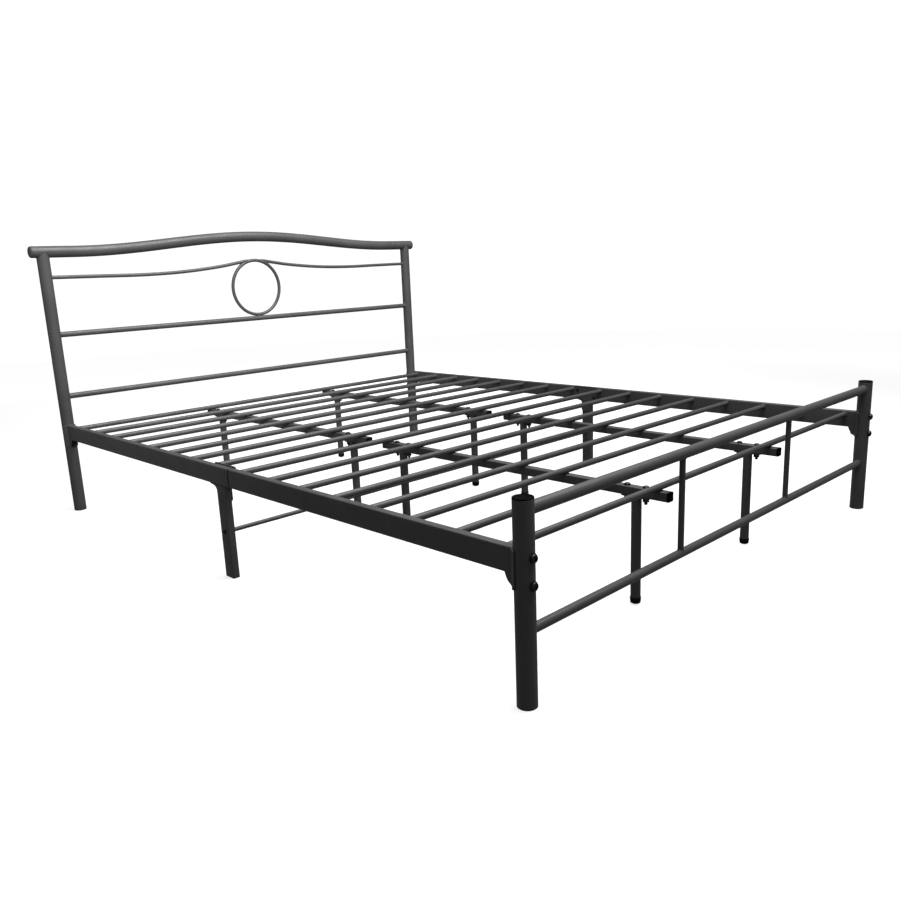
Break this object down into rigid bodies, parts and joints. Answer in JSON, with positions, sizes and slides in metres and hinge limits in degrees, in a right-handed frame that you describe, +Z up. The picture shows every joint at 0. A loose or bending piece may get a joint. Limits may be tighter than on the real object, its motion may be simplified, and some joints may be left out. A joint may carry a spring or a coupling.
{
  "type": "metal bed frame",
  "caption": "Black tubular steel bed frame with an arched ring headboard, low footboard, side rails, round cross slats and legs under the middle.",
  "frame": {"origin": "on the floor, at the middle of the bed's footprint", "axes": "+Y along the bed towards the headboard, +Z up, +X to the right hand of a person at the foot end who looks at the headboard"},
  "size_m": [1.684, 2.1246, 0.949],
  "materials": {
    "powder_coat": "satin black powder coat on steel tube",
    "plug": "moulded black plastic",
    "fastener": "black zinc plated steel",
    "foot": "moulded black rubber"
  },
  "bodies": {
    "root": {"head_post_left": "powder_coat", "foot_post_left": "powder_coat", "foot_spindle_left": "powder_coat", "foot_post_plug_left": "plug", "mid_leg_left": "powder_coat", "side_rail_left_foot": "powder_coat", "support_rail_left_foot": "powder_coat", "post_bolts_foot_left": "fastener", "support_leg_left_foot_inner": "powder_coat", "support_foot_left_foot_inner": "foot", "support_leg_left_foot_outer": "powder_coat", "support_foot_left_foot_outer": "foot", "side_rail_left_head": "powder_coat", "support_rail_left_head": "powder_coat", "post_bolts_head_left": "fastener", "support_leg_left_head_inner": "powder_coat", "support_foot_left_head_inner": "foot", "support_leg_left_head_outer": "powder_coat", "support_foot_left_head_outer": "foot", "head_post_right": "powder_coat", "foot_post_right": "powder_coat", "foot_spindle_right": "powder_coat", "foot_post_plug_right": "plug", "mid_leg_right": "powder_coat", "side_rail_right_foot": "powder_coat", "support_rail_right_foot": "powder_coat", "post_bolts_foot_right": "fastener", "support_leg_right_foot_inner": "powder_coat", "support_foot_right_foot_inner": "foot", "support_leg_right_foot_outer": "powder_coat", "support_foot_right_foot_outer": "foot", "side_rail_right_head": "powder_coat", "support_rail_right_head": "powder_coat", "post_bolts_head_right": "fastener", "support_leg_right_head_inner": "powder_coat", "support_foot_right_head_inner": "foot", "support_leg_right_head_outer": "powder_coat", "support_foot_right_head_outer": "foot", "head_top_rail": "powder_coat", "head_ring_panel": "powder_coat", "head_lower_bar": "powder_coat", "foot_top_rail": "powder_coat", "foot_lower_rail": "powder_coat", "mid_leg_crossbar": "powder_coat", "slat_01": "powder_coat", "slat_02": "powder_coat", "slat_03": "powder_coat", "slat_04": "powder_coat", "slat_05": "powder_coat", "slat_06": "powder_coat", "slat_07": "powder_coat", "slat_08": "powder_coat", "slat_09": "powder_coat", "slat_10": "powder_coat", "slat_11": "powder_coat", "slat_12": "powder_coat", "slat_13": "powder_coat", "slat_14": "powder_coat", "slat_15": "powder_coat", "slat_16": "powder_coat"}
  },
  "joints": []
}
